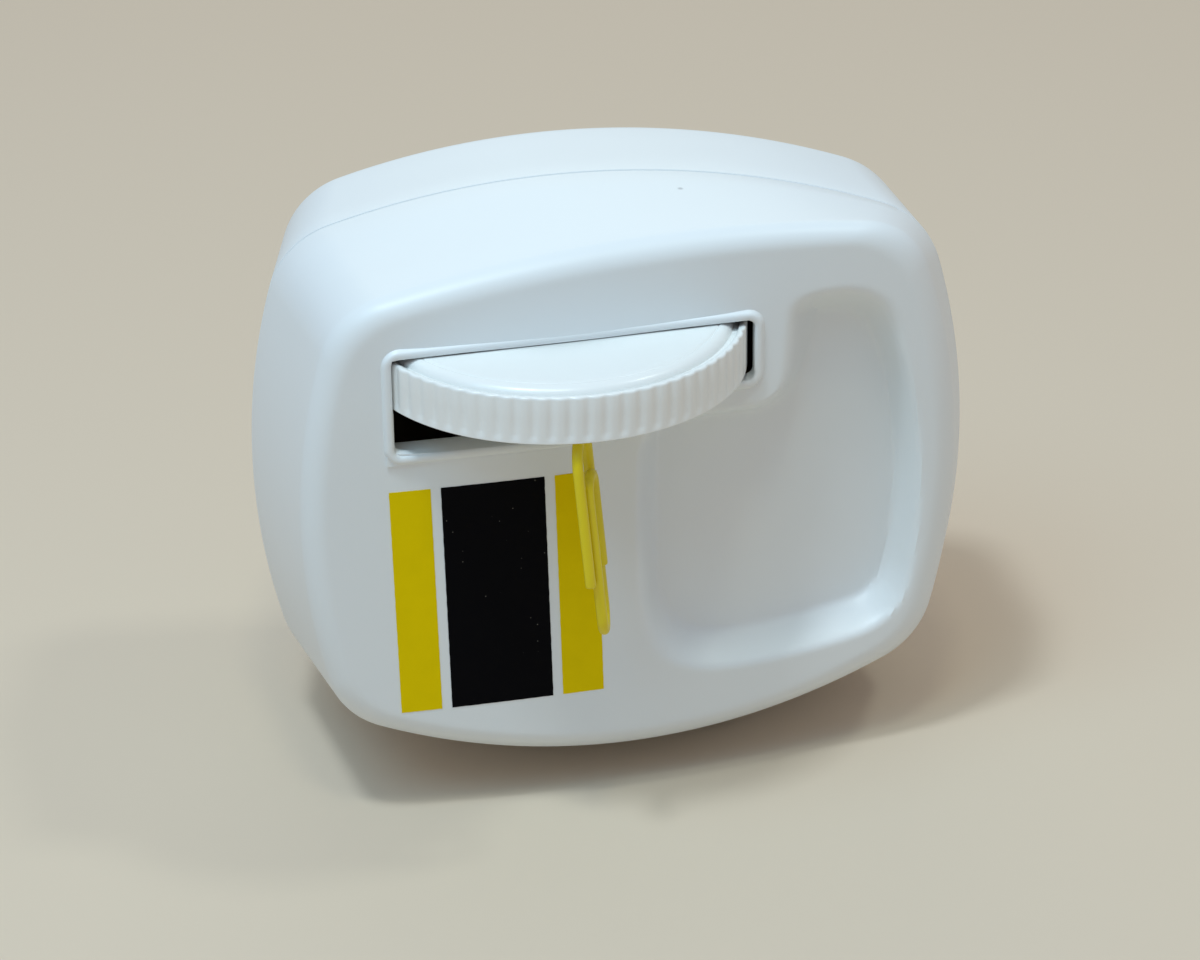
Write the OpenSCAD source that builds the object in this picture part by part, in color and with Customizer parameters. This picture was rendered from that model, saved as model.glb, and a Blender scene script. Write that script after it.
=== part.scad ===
// Paper clip dispenser for a desk: two white shells hold the clips, and a ribbed
// wheel with magnets under it carries one clip at a time out of a slot in the face.
// Front is towards -Y, +Z is up, and the origin lies under the middle on the table.

/* [Body] */
// Width of the body at the seam
body_w = 109; // [104:0.5:120]
// Height of the body at the seam
body_h = 90; // [88:0.5:100]
// Depth from the seam to the front face at mid width
front_depth = 27; // [25:0.5:32]
// Depth from the seam to the flat back
rear_depth = 30.5; // [26:0.5:38]
// Turn of the front face towards the right, in degrees
face_turn = 10; // [6:0.5:12]
// Radius of the front face about an upright axis
face_radius = 516; // [400:2:900]
// Radius of the bulged left and right sides
side_radius = 106; // [95:1:160]
// Radius of the arched top
top_radius = 128; // [110:1:200]
// Radius of the arched bottom
bottom_radius = 114; // [100:1:200]
// Radius of the four corners of the outline
corner_radius = 14.2; // [10:0.2:20]
// Set-in of the face's left edge from the seam
face_left = 7.5; // [5:0.1:9]
// Set-in of the face's right edge from the seam
face_right = 3.5; // [2.5:0.1:6]
// Set-in of the face's top edge from the seam
face_top = 1; // [0.6:0.1:4]
// Set-in of the face's bottom edge from the seam
face_low = 6.6; // [4:0.1:8]
// Place of the face's highest point to the right of its middle
face_crown = 10; // [0:0.5:14]
// Radius of the face's left and right edges
face_side_radius = 100; // [90:1:160]
// Radius of the face's arched top edge
face_top_radius = 207; // [140:1:260]
// Radius of the face's arched bottom edge
face_low_radius = 100; // [90:1:180]
// Radius of the four corners of the face
face_corner = 12; // [9:0.2:18]
// Draft of the rear cover's sides, in degrees
rear_draft = 6.7; // [3:0.1:9]
// Radius of the soft edge round the front face
front_fillet = 3.6; // [2.8:0.2:5]
// Radius of the soft edge round the back
rear_fillet = 7; // [4:0.2:9]
// Thickness of both shells
wall = 2; // [1.6:0.1:2.4]
// Open line between the two shells
seam_gap = 0.3; // [0.2:0.05:0.6]
// Reach of the rear cover's tongue into the front shell
tongue_len = 3; // [2:0.25:5]
// Thickness of the tongue
tongue_wall = 1.4; // [1:0.1:2]
// Play between the tongue and the front shell
tongue_gap = 0.35; // [0.3:0.05:0.6]

/* [Wheel] */
// Diameter over the ribs
wheel_d = 56.6; // [52:0.2:58]
// Height of the ribbed band
wheel_band = 7.3; // [6:0.1:8.2]
// Height of the wheel's underside against the top of the body, so it is below zero
wheel_rise = -22.9; // [-25:0.1:-22]
// Place of the axis to the side of the middle
wheel_x = -9.1; // [-12:0.1:-7]
// Distance of the axis in front of the seam
wheel_ahead = 17.6; // [16:0.1:19.5]
// Number of ribs round the band
rib_count = 68; // [48:1:90]
// Height of a rib
rib_depth = 0.25; // [0.15:0.05:0.5]
// Height of the smooth lip under the ribs
lip_h = 0.45; // [0.2:0.05:0.8]
// Reach of the lip past the ribs
lip_proud = 0.06; // [0.04:0.01:0.2]
// Thickness of the wheel's floor
wheel_floor = 3.4; // [3.2:0.1:3.8]
// Thickness of the band's wall beside the cap
band_wall = 0.7; // [0.5:0.05:1]
// Width of the ledge that the cap rests on
ledge_w = 2.2; // [1.5:0.1:3]
// Thickness of the cap
cap_h = 2.2; // [1.8:0.1:2.6]
// Height of the cap above the ribbed band
cap_proud = 0.6; // [0.3:0.05:0.8]
// Width of the rounded shoulder round the cap
cap_shoulder = 2.5; // [1.5:0.1:3.5]
// Height of the rounded shoulder
cap_drop = 1.3; // [0.8:0.05:1.5]
// Width of the fine crease inside the shoulder
crease_w = 0.3; // [0.2:0.05:0.5]
// Radius of the hub
hub_r = 5; // [4:0.1:6]
// Play between two pieces that only lie together
loose_fit = 0.1; // [0.05:0.01:0.2]

/* [Magnets] */
// Number of magnets in the wheel
magnet_count = 6; // [6:1:6]
// Diameter of a magnet
magnet_d = 7; // [5:0.5:7.5]
// Height of a magnet
magnet_h = 2.4; // [1.6:0.1:2.4]
// Distance of the magnets' middles from the wheel's edge
magnet_ring = 7.8; // [7.4:0.2:10]

/* [Axle] */
// Diameter of the axle pin
axle_d = 3; // [2.5:0.1:4]
// Running clearance of the hub on the pin, on the radius
running_gap = 0.05; // [0.03:0.01:0.08]
// End play of the hub between its washers
end_play = 0.25; // [0.2:0.05:0.4]
// Thickness of the thrust washer
washer_h = 0.8; // [0.6:0.1:1.2]
// Thickness of the push nut
nut_h = 0.7; // [0.5:0.1:1]
// Radius of the push nut
nut_r = 3.6; // [3.2:0.1:4.5]
// Radius of the pin's head
head_r = 2.8; // [2.5:0.1:4]
// Height of the pin's head
head_h = 1.2; // [0.8:0.1:1.6]
// Thickness of the bridge that carries the axle
bridge_h = 2.6; // [2.2:0.1:3]
// Width of the bridge
bridge_w = 8; // [7:0.2:10]
// Width of the bridge at the axle
bridge_boss = 12; // [9:0.5:14]
// Distance of each bridge screw to the side of the axle
screw_reach = 15; // [12:0.5:17]
// Distance of the screws behind the axle
post_back = 8; // [7:0.25:9.5]
// Diameter of a screw's shank
screw_d = 2.6; // [2.2:0.1:3]
// Length of a screw's shank
screw_len = 3.2; // [2.4:0.1:3.4]
// Diameter of a screw's head
screw_head_d = 5.2; // [4.6:0.1:5.8]
// Height of a screw's head
screw_head_h = 1.3; // [1:0.1:1.5]
// Radius of the posts that the bridge is screwed to
post_r = 3; // [2.6:0.1:4]

/* [Slot] */
// Room between the wheel's top and the slot
slot_top_gap = 0.35; // [0.3:0.05:0.8]
// Room between the wheel and the hollow in the slot's left end
slot_left_gap = 0.4; // [0.3:0.05:0.8]
// Room between the wheel and the slot's right end
slot_right_gap = 0.8; // [0.6:0.1:2.5]
// Height of the clip exit under the wheel
exit_h = 7.3; // [5:0.1:8]
// Width of the clip exit from the slot's left end
exit_w = 30; // [26:0.5:34]
// Room under the wheel to the right of the exit
step_gap = 1.6; // [1:0.1:2.5]
// Corner radius of the slot
slot_radius = 1.2; // [0.8:0.1:1.6]
// Width of the raised frame round the slot
frame_w = 1.3; // [0.8:0.1:1.6]
// Height of the raised frame over the face
frame_h = 0.7; // [0.4:0.05:1]
// Depth of the sill under the clip exit, from the face
sill_depth = 4.7; // [4:0.1:7]
// Thickness of the sill
sill_h = 1.5; // [1:0.1:2]

/* [Tray] */
// Width of the finger tray
tray_w = 45.3; // [40:0.1:46]
// Height of the finger tray
tray_h = 60.7; // [54:0.1:62]
// Middle of the tray to the right of the body's middle
tray_x = 23.9; // [22:0.1:25]
// Middle of the tray above the middle of the body
tray_rise = 3.1; // [1:0.1:5]
// Depth of the tray under the face
tray_depth = 6; // [4.6:0.1:6.5]
// Width of the soft wall round the tray
tray_slope = 4.4; // [4:0.1:7]
// Added width of the wall at the tray's top
tray_ease = 2.8; // [0:0.1:4]
// Distance of the tray from the slot's frame
neck_w = 2.7; // [1:0.1:3.5]

/* [Feet] */
// Radius of a foot
foot_r = 3.5; // [3:0.1:5]
// Height of a foot
foot_h = 2.6; // [2.2:0.1:3]
// Distance of the feet from the middle
foot_x = 15; // [10:0.5:24]
// Distance of the front feet in front of the seam
foot_front = 5.2; // [4.8:0.1:9]
// Distance of the rear feet behind the seam
foot_rear = 22; // [15:0.25:22]
// Lip of the moulded pad round a foot
pad_lip = 0.8; // [0.5:0.1:1.5]
// Height of the body's lowest edge above the table
ground_gap = 0.6; // [0.4:0.1:1]

/* [Prints] */
// Left edge of the printed panel
print_left = -34.3; // [-36:0.1:-33]
// Width of the left yellow stripe
stripe_left_w = 6.1; // [4:0.1:6.5]
// Width of the black panel
panel_w = 15.3; // [12:0.1:16]
// Width of the right yellow stripe
stripe_right_w = 6.2; // [4:0.1:6.5]
// White line between the colours
print_gap = 1.5; // [0.8:0.1:1.8]
// Height of the print's upper edge above the middle of the body
print_rise = 9; // [8:0.1:11]
// Height of the print
print_h = 36.7; // [30:0.1:38]
// Thickness of the ink
ink_h = 0.12; // [0.08:0.01:0.3]

/* [Paper clip] */
// Length of the clip
clip_len = 33; // [30:0.5:34]
// Thickness of the coated wire
wire_d = 1.6; // [1.2:0.05:1.65]
// Width of the outer loop between wire middles
clip_w = 7.9; // [7.4:0.1:8.2]
// Place of the inner loop beside the first leg
clip_inner = 1.7; // [1.6:0.05:1.8]
// Width of the inner loop between wire middles
clip_inner_w = 4.4; // [4:0.1:4.4]
// Distance of the inner loop from the clip's top
clip_inner_top = 6.4; // [5:0.1:8]
// Length of the first leg from the clip's top
clip_leg = 23.2; // [18:0.2:25]
// Length of the last leg from the clip's top
clip_tail = 22.6; // [18:0.2:24]
// Spring of the inner loop out of the clip's plane
clip_spring = 0.8; // [0.5:0.05:1.2]
// Distance of the first leg from the wheel's rim
clip_inset = 1.5; // [1:0.1:3]
// Place of the clip round the wheel from its front, in degrees
clip_round = 1.5; // [0:0.5:6]
// Turn of the clip's plane from straight back, in degrees
clip_turn = 14; // [0:0.5:30]
// Lean of the clip to the right, in degrees
clip_lean = 5; // [0:0.5:6]
// Air between the clip and the wheel
clip_gap = 0.25; // [0.2:0.05:0.5]

/* [Hidden] */
$fn = 64;
cut = 1;

// Places that follow from the sizes
half_w = body_w / 2;
half_h = body_h / 2;
mid_z = ground_gap + half_h;
wheel_r = wheel_d / 2;
seam_y = (wheel_ahead + wheel_r - rear_depth) / 2;
wheel_y = seam_y - wheel_ahead;
wheel_z = ground_gap + body_h + wheel_rise;
band_top = wheel_z + wheel_band;
cap_top = band_top + cap_proud;
cap_z = cap_top - cap_h;
cap_r = wheel_r - lip_proud - rib_depth - band_wall - loose_fit;
hub_top = cap_top + loose_fit;
washer_z = hub_top + end_play;
bridge_z = washer_z + washer_h;
bridge_top = bridge_z + bridge_h;
nut_z = wheel_z - end_play - nut_h;
back_y = seam_y + rear_depth;

// The face is part of an upright cylinder, turned away to the right
face_x = -face_radius * sin(face_turn);
face_back = seam_y - front_depth + face_radius * cos(face_turn);
function face_y(x) = face_back - sqrt(pow(face_radius, 2) - pow(x - face_x, 2));

// Where two circles cross, on one side of the line from the first to the second
function crossing(c0, r0, c1, r1, side) =
    let (
        v = c1 - c0,
        d = norm(v),
        a = (r0 * r0 - r1 * r1 + d * d) / (2 * d),
        h = sqrt(r0 * r0 - a * a)
    )
    c0 + v * (a / d) + [-v[1], v[0]] * (side * h / d);

// Outlines about their middle: four long arcs with round corners, as [x, z].
// The top's highest point may lie to one side.
side_steps = 10;
corner_steps = 7;
arch_steps = 14;
function heading(from, to) = let (a = atan2(to[1] - from[1], to[0] - from[0])) a < 0 ? a + 360 : a;
function arc(mid, r, from, to, steps) = [
    for (i = [0:steps - 1])
        let (a = from + (to - from) * i / steps)
        [mid[0] + r * cos(a), mid[1] + r * sin(a)]
];
function bulged(w, h, side_r, top_r, low_r, corner_r, crown) =
    let (
        right = [w - side_r, 0],
        left = [side_r - w, 0],
        top = [crown, h - top_r],
        low = [0, low_r - h],
        tr = crossing(right, side_r - corner_r, top, top_r - corner_r, 1),
        tl = crossing(left, side_r - corner_r, top, top_r - corner_r, -1),
        lr = crossing(right, side_r - corner_r, low, low_r - corner_r, -1),
        ll = crossing(left, side_r - corner_r, low, low_r - corner_r, 1)
    )
    concat(
        arc(right, side_r, heading(right, lr) - 360, heading(right, tr), side_steps),
        arc(tr, corner_r, heading(right, tr), heading(top, tr), corner_steps),
        arc(top, top_r, heading(top, tr), heading(top, tl), arch_steps),
        arc(tl, corner_r, heading(top, tl), heading(left, tl), corner_steps),
        arc(left, side_r, heading(left, tl), heading(left, ll), side_steps),
        arc(ll, corner_r, heading(left, ll), heading(low, ll), corner_steps),
        arc(low, low_r, heading(low, ll), heading(low, lr), arch_steps),
        arc(lr, corner_r, heading(low, lr), heading(right, lr), corner_steps)
    );
outline = bulged(half_w, half_h, side_radius, top_radius, bottom_radius, corner_radius, 0);

// The face has an outline of its own, shifted against the seam
face_half_w = (body_w - face_left - face_right) / 2;
face_half_h = (body_h - face_top - face_low) / 2;
face_shift = (face_left - face_right) / 2;
face_lift = (face_low - face_top) / 2;
face_z = mid_z + face_lift;
face_edge = bulged(
    face_half_w, face_half_h, face_side_radius, face_top_radius, face_low_radius, face_corner, face_crown
);
face_outline = [for (p = face_edge) p + [face_shift, face_lift]];

// The seam's outline set in by a distance on every side
function inset_point(o, d) = [o[0] * (1 - d / half_w), mid_z + o[1] * (1 - d / half_h)];
function flat_ring(y, d) = [for (o = outline) let (p = inset_point(o, d)) [p[0], y, p[1]]];

// Ends of the slot: at the left the wheel's hollow passes the front of the frame, at the right the wheel passes
// the inner side of the face.
face_mid = [face_x, face_back];
wheel_mid = [wheel_x, wheel_y];
hollow_r = wheel_r + slot_left_gap;
slot_left = crossing(face_mid, face_radius + frame_h, wheel_mid, hollow_r, -1)[0];
slot_right = crossing(face_mid, face_radius - wall, wheel_mid, wheel_r, 1)[0] + slot_right_gap;
slot_top = cap_top + slot_top_gap;
slot_low = wheel_z - exit_h;
slot_step = wheel_z - step_gap;
exit_right = slot_left + exit_w;

// The tray sinks into the face inside a soft outline that passes round the end of the slot.
// Each corner is [x, z, length that its curve takes from both sides].
tray_z = mid_z + tray_rise;
neck_x = slot_right + frame_w + neck_w;
neck_z = slot_step - frame_w - neck_w;
function tray_corner(u, v, cut) = [tray_x + u * tray_w / 2, tray_z + v * tray_h / 2, cut * tray_w];
tray_corners = [
    tray_corner(0.77, 1, 0.22),
    [neck_x + neck_w / 4, tray_z + tray_h / 2, 0.13 * tray_w],
    [neck_x, neck_z, 0.1 * tray_w],
    [tray_x - 0.97 * tray_w / 2, neck_z, 0.15 * tray_w],
    tray_corner(-1, -0.1, 0.26),
    tray_corner(-0.96, -0.98, 0.31),
    tray_corner(-0.17, -1.025, 0.2),
    tray_corner(0.89, -0.915, 0.2),
    tray_corner(1.05, -0.08, 0.35)
];
curve_steps = 5;
function way(a, b) = let (v = [b[0] - a[0], b[1] - a[1]]) v / norm(v);
function soft_corners(corners) = [
    for (i = [0:len(corners) - 1])
        let (
            n = len(corners),
            c = [corners[i][0], corners[i][1]],
            from = c + corners[i][2] * way(c, corners[(i + n - 1) % n]),
            to = c + corners[i][2] * way(c, corners[(i + 1) % n])
        )
        for (k = [0:curve_steps])
            let (t = k / curve_steps)
            (1 - t) * (1 - t) * from + 2 * t * (1 - t) * c + t * t * to
];
tray_outline = soft_corners(tray_corners);

// How far a point lies inside the tray's outline, below zero outside it
function gap_to(p, a, b) =
    let (v = b - a, t = min(max((p - a) * v / (v * v), 0), 1))
    norm(p - a - t * v);
function crosses(p, a, b) =
    (a[1] > p[1]) != (b[1] > p[1]) && p[0] < a[0] + (p[1] - a[1]) / (b[1] - a[1]) * (b[0] - a[0]);
function tray_reach(p) =
    let (
        n = len(tray_outline),
        gap = min([for (i = [0:n - 1]) gap_to(p, tray_outline[i], tray_outline[(i + 1) % n])]),
        hits = len([for (i = [0:n - 1]) if (crosses(p, tray_outline[i], tray_outline[(i + 1) % n])) i])
    )
    hits % 2 == 1 ? gap : -gap;
function soft_step(t) = let (s = min(max(t, 0), 1)) s * s * (3 - 2 * s);
// A straight slope from 0 to 1 that is eased over a share of its length at each end
slope_turn = 0.3;
slope_ease = 2 * slope_turn * (1 - slope_turn);
function slope_step(t) =
    let (s = min(max(t, 0), 1))
    s < slope_turn ? s * s / slope_ease
        : 1 - s < slope_turn ? 1 - (1 - s) * (1 - s) / slope_ease
        : (s - slope_turn / 2) / (1 - slope_turn);
function tray_sink(x, z, grow) =
    let (
        high = soft_step(((z - tray_z) / (tray_h / 2) - 0.4) / 0.5),
        near = abs(x - tray_x) < tray_w && abs(z - tray_z) < tray_h
    )
    near ? tray_depth * slope_step((tray_reach([x, z]) + grow) / (tray_slope + tray_ease * high)) : 0;

// Front shell: rings from the middle of the face out to the seam, a depth t under its skin.
// A ring turns from the face (0 degrees) round the soft edge to the side wall (90 degrees).
function front_point(i, t, turn) =
    let (
        r = front_fillet - t,
        sunk = r * (1 - cos(turn)),
        whole = seam_y - face_y(face_outline[i][0]),
        share = (whole - t - sunk) / whole,
        mid = [face_shift, face_lift] * share,
        q = outline[i] + (face_outline[i] - outline[i]) * share - mid,
        d = t + r * (1 - sin(turn)),
        x = mid[0] + q[0] * (1 - d / half_w),
        z = mid[1] + q[1] * (1 - d / half_h)
    )
    [x, face_y(x) + t + sunk, mid_z + z];
function front_ring(t, turn) = [for (i = [0:len(outline) - 1]) front_point(i, t, turn)];
function face_ring(t, share) = [
    for (i = [0:len(outline) - 1])
        let (
            p = front_point(i, t, 0),
            x = face_shift + (p[0] - face_shift) * share,
            z = face_z + (p[2] - face_z) * share
        )
        [x, face_y(x) + t + tray_sink(x, z, t * 0.7), z]
];
face_steps = 18;
inner_face_steps = 12;
front_rings = concat(
    [for (k = [1:face_steps]) face_ring(0, k / face_steps)],
    [for (turn = [22.5:22.5:90]) front_ring(0, turn)],
    [flat_ring(seam_y - seam_gap / 2, 0), flat_ring(seam_y - seam_gap / 2, wall)],
    [for (turn = [90:-30:30]) front_ring(wall, turn)],
    [for (k = [inner_face_steps:-1:1]) face_ring(wall, k / inner_face_steps)]
);

// Rear cover: rings from the middle of the back's inner side to the seam, round the tongue and back outside
rear_slope = tan(rear_draft);
function rear_ring(t, turn) =
    let (
        r = rear_fillet - t,
        sunk = r * (1 - cos(turn)),
        y = back_y - t - sunk
    )
    flat_ring(y, t + r * (1 - sin(turn)) + rear_slope * (y - seam_y));
function back_ring(t, share) = [for (p = rear_ring(t, 0)) [p[0] * share, p[1], mid_z + (p[2] - mid_z) * share]];
tongue_root = wall + tongue_gap;
tongue_tip = tongue_root + tongue_len * max(face_left, face_low) / front_depth;
tongue_y = seam_y - tongue_len;
rear_seam = seam_y + seam_gap / 2;
rear_rings = concat(
    [back_ring(wall, 0.5)],
    [for (turn = [0:30:90]) rear_ring(wall, turn)],
    [
        flat_ring(rear_seam + tongue_len, wall + rear_slope * tongue_len),
        flat_ring(rear_seam, tongue_tip + tongue_wall),
        flat_ring(tongue_y, tongue_tip + tongue_wall),
        flat_ring(tongue_y, tongue_tip),
        flat_ring(rear_seam, tongue_root),
        flat_ring(rear_seam, 0)
    ],
    [for (turn = [90:-18:0]) rear_ring(0, turn)],
    [back_ring(0, 0.5)]
);

// A closed skin through rings of equal length, with a fan over its first and last ring
module loft(rings, first, last) {
    n = len(rings[0]);
    m = len(rings);
    points = concat([for (r = rings) each r], [first, last]);
    sides = [
        for (j = [0:m - 2], i = [0:n - 1])
            let (a = j * n + i, b = j * n + (i + 1) % n)
            each [[a, b, b + n], [a, b + n, a + n]]
    ];
    start = [for (i = [0:n - 1]) [m * n, (i + 1) % n, i]];
    end = [for (i = [0:n - 1]) [m * n + 1, (m - 1) * n + i, (m - 1) * n + (i + 1) % n]];
    polyhedron(points, concat(sides, start, end), convexity = 8);
}

// Outer height of the arched top and bottom over a place in plan
function arch(x, r) = sqrt(r * r - x * x) - r;
function front_share(x, y) = (seam_y - y) / (seam_y - face_y(x));
function roof_z(x, y) =
    let (
        at_seam = half_h + arch(x, top_radius),
        at_face = face_lift + face_half_h + arch(x - face_shift - face_crown, face_top_radius)
    )
    mid_z + at_seam + (at_face - at_seam) * front_share(x, y);
function keel_z(x, y) =
    let (
        at_seam = -half_h - arch(x, bottom_radius),
        at_face = face_lift - face_half_h - arch(x - face_shift, face_low_radius)
    )
    mid_z + (y > seam_y
        ? at_seam * (1 - rear_slope * (y - seam_y) / half_h)
        : at_seam + (at_face - at_seam) * front_share(x, y));
bite = wall * 0.8;

// A rounded outline through square corners, where each corner is [x, z, radius]
bend_steps = 5;
function rounded(corners) = [
    for (i = [0:len(corners) - 1])
        let (
            n = len(corners),
            c = corners[i],
            u = way(c, corners[(i + n - 1) % n]),
            v = way(c, corners[(i + 1) % n]),
            mid = [c[0], c[1]] + c[2] * (u + v)
        )
        for (k = [0:bend_steps])
            let (a = 90 * k / bend_steps)
            mid - c[2] * (v * cos(a) + u * sin(a))
];
// The slot is tall on the left, where a clip comes out, and only as tall as the wheel on the right
function slot_outline(grow) = rounded([
    [slot_left - grow, slot_top + grow, slot_radius + grow],
    [slot_left - grow, slot_low - grow, slot_radius + grow],
    [exit_right + grow, slot_low - grow, slot_radius + grow],
    [exit_right + grow, slot_step - grow, slot_radius],
    [slot_right + grow, slot_step - grow, slot_radius + grow],
    [slot_right + grow, slot_top + grow, slot_radius + grow]
]);

// An upright prism of an outline seen from the front, from one depth to another
module front_prism(points, from, to) {
    translate([0, to, 0])
        rotate([90, 0, 0])
            linear_extrude(height = to - from)
                polygon(points);
}

// The room between two skins that follow the face, measured outwards from it
module face_skin(from, to) {
    translate([face_x, face_back, 0])
        difference() {
            cylinder(r = face_radius + to, h = mid_z + half_h, $fn = 720);
            translate([0, 0, -cut])
                cylinder(r = face_radius + from, h = mid_z + half_h + 2 * cut, $fn = 720);
        }
}

slot_front = face_y(slot_left) - frame_h - cut;
slot_back = face_y(slot_right) + wall + cut;

module slot_frame() {
    intersection() {
        front_prism(slot_outline(frame_w), slot_front, slot_back);
        face_skin(-wall * 0.4, frame_h);
    }
}

module sill() {
    intersection() {
        translate([slot_left - slot_radius, slot_front, slot_low - sill_h])
            cube([exit_w + 2 * slot_radius, slot_back + sill_depth - slot_front, sill_h]);
        face_skin(-sill_depth, -wall * 0.7);
    }
}

post_y = wheel_y + post_back;
screw_places = [for (side = [-1, 1]) [wheel_x + side * screw_reach, post_y]];

module post(place) {
    top = roof_z(place[0], place[1]) - wall + bite - post_r / 5;
    translate([place[0], place[1], bridge_top])
        cylinder(r = post_r, h = top - bridge_top);
}

module screw_hole(place) {
    translate([place[0], place[1], bridge_top - cut])
        cylinder(d = screw_d + loose_fit, h = screw_len + cut);
}

// A moulded pad over a foot: its top follows the arched bottom and stays inside the wall
pad_steps = 24;
function pad_top(p) = keel_z(p[0], p[1]) + bite;
module foot_pad(x, y) {
    rim = [
        for (i = [0:pad_steps - 1])
            let (a = 360 * i / pad_steps)
            [x + (foot_r + pad_lip) * cos(a), y + (foot_r + pad_lip) * sin(a)]
    ];
    loft(
        [[for (p = rim) [p[0], p[1], pad_top(p)]], [for (p = rim) [p[0], p[1], foot_h]]],
        [x, y, pad_top([x, y])], [x, y, foot_h]
    );
}

// Room for a foot where the bottom bulges down beside its pad
module foot_pocket(x, y) {
    translate([x, y, -cut])
        cylinder(r = foot_r + loose_fit, h = foot_h + cut);
}

// Room for the wheel in the slot's left end, where it runs back behind the face
module wheel_hollow() {
    translate([wheel_x, wheel_y, wheel_z - slot_left_gap])
        cylinder(r = hollow_r, h = slot_top - wheel_z + slot_left_gap);
}

module front_shell() {
    color("#eef2f4")
        difference() {
            union() {
                loft(
                    front_rings,
                    [face_shift, face_y(face_shift) + tray_sink(face_shift, face_z, 0), face_z],
                    [face_shift, face_y(face_shift) + wall + tray_sink(face_shift, face_z, wall * 0.7), face_z]
                );
                slot_frame();
                sill();
                for (place = screw_places)
                    post(place);
                for (x = [-foot_x, foot_x])
                    foot_pad(x, seam_y - foot_front);
            }
            front_prism(slot_outline(0), slot_front, slot_back);
            wheel_hollow();
            for (place = screw_places)
                screw_hole(place);
            for (x = [-foot_x, foot_x])
                foot_pocket(x, seam_y - foot_front);
        }
}

module rear_cover() {
    color("#eef2f4")
        union() {
            loft(rear_rings, [0, back_y - wall, mid_z], [0, back_y, mid_z]);
            for (x = [-foot_x, foot_x])
                foot_pad(x, seam_y + foot_rear);
        }
}

// Outline of the ribbed band: each rib is a small rounded tooth
rib_shape = [[0, 0], [0.2, 0.8], [0.5, 1], [0.8, 0.8]];
rib_points = [
    for (i = [0:rib_count - 1], s = rib_shape)
        let (a = 360 * (i + s[0]) / rib_count, r = wheel_r - lip_proud - rib_depth * (1 - s[1]))
        [r * cos(a), r * sin(a)]
];

module at_wheel(z) {
    translate([wheel_x, wheel_y, z])
        children();
}

module magnet_places() {
    for (k = [0:magnet_count - 1])
        magnet_place(k)
            children();
}

module magnet_place(k) {
    rotate(clip_round - 90 + 360 * k / magnet_count)
        translate([wheel_r - magnet_ring, 0, 0])
            children();
}

cup_r = cap_r - ledge_w;
magnet_z = wheel_floor - magnet_h - loose_fit;

module wheel_rim() {
    color("#f3f2ea")
        at_wheel(wheel_z)
            difference() {
                union() {
                    difference() {
                        linear_extrude(height = wheel_band)
                            polygon(rib_points);
                        translate([0, 0, wheel_floor])
                            cylinder(r = cup_r, h = wheel_band);
                        translate([0, 0, cap_z - wheel_z])
                            cylinder(r = cap_r + loose_fit, h = wheel_band);
                    }
                    cylinder(r = wheel_r, h = lip_h);
                    cylinder(r = hub_r, h = hub_top - wheel_z);
                }
                translate([0, 0, -cut])
                    cylinder(d = axle_d + 2 * running_gap, h = hub_top - wheel_z + 2 * cut);
                magnet_places()
                    translate([0, 0, magnet_z])
                        cylinder(d = magnet_d + 2 * loose_fit, h = magnet_h + cut);
            }
}

module wheel_cap() {
    shoulder = [
        for (a = [0:15:90])
            [cap_r - cap_shoulder * (1 - cos(a)), cap_h - cap_drop * (1 - sin(a))]
    ];
    crease_r = cap_r - cap_shoulder;
    color("#f6f5ee")
        at_wheel(cap_z)
            rotate_extrude()
                polygon(concat(
                    [[hub_r + loose_fit, 0], [cap_r, 0]],
                    shoulder,
                    [
                        [crease_r - crease_w / 2, cap_h - crease_w / 2],
                        [crease_r - crease_w, cap_h],
                        [hub_r + loose_fit, cap_h]
                    ]
                ));
}

module magnet(k) {
    color("#4a4a4c")
        at_wheel(wheel_z + magnet_z)
            magnet_place(k)
                cylinder(d = magnet_d, h = magnet_h);
}

module axle_pin() {
    color("silver")
        at_wheel(0) {
            translate([0, 0, nut_z - nut_h])
                cylinder(d = axle_d, h = bridge_top - nut_z + nut_h);
            translate([0, 0, bridge_top])
                cylinder(r = head_r, h = head_h);
        }
}

// A flat ring on the axle
module ring_on_axle(z, r, h) {
    at_wheel(z)
        difference() {
            cylinder(r = r, h = h);
            translate([0, 0, -cut])
                cylinder(d = axle_d + running_gap, h = h + 2 * cut);
        }
}

module thrust_washer() {
    color("#d8c9a0")
        ring_on_axle(washer_z, hub_r, washer_h);
}

module push_nut() {
    color("#8f9296")
        ring_on_axle(nut_z, nut_r, nut_h);
}

module wheel_bridge() {
    color("#d9dcdd")
        difference() {
            translate([0, 0, bridge_z])
                linear_extrude(height = bridge_h)
                    union() {
                        translate([wheel_x - screw_reach, post_y - bridge_w / 2])
                            square([2 * screw_reach, bridge_w]);
                        translate([wheel_x - bridge_boss / 2, wheel_y])
                            square([bridge_boss, post_back]);
                        for (place = screw_places)
                            translate(place)
                                circle(d = bridge_w);
                        translate(wheel_mid)
                            circle(d = bridge_boss);
                    }
            at_wheel(bridge_z - cut)
                cylinder(d = axle_d + running_gap, h = bridge_h + 2 * cut);
            for (place = screw_places)
                translate([place[0], place[1], bridge_z - cut]) {
                    cylinder(d = screw_head_d + 2 * loose_fit, h = screw_head_h + cut);
                    cylinder(d = screw_d + 2 * loose_fit, h = bridge_h + 2 * cut);
                }
        }
}

module bridge_screws() {
    color("#b8bcc0")
        for (place = screw_places)
            translate([place[0], place[1], bridge_z]) {
                cylinder(d = screw_head_d, h = screw_head_h);
                cylinder(d = screw_d, h = bridge_h + screw_len - loose_fit);
            }
}

module foot(x, y) {
    edge = foot_h / 4;
    color("#2b2b2c")
        translate([x, y, 0])
            rotate_extrude()
                polygon([[0, 0], [foot_r - edge, 0], [foot_r, edge], [foot_r, foot_h], [0, foot_h]]);
}

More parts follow.
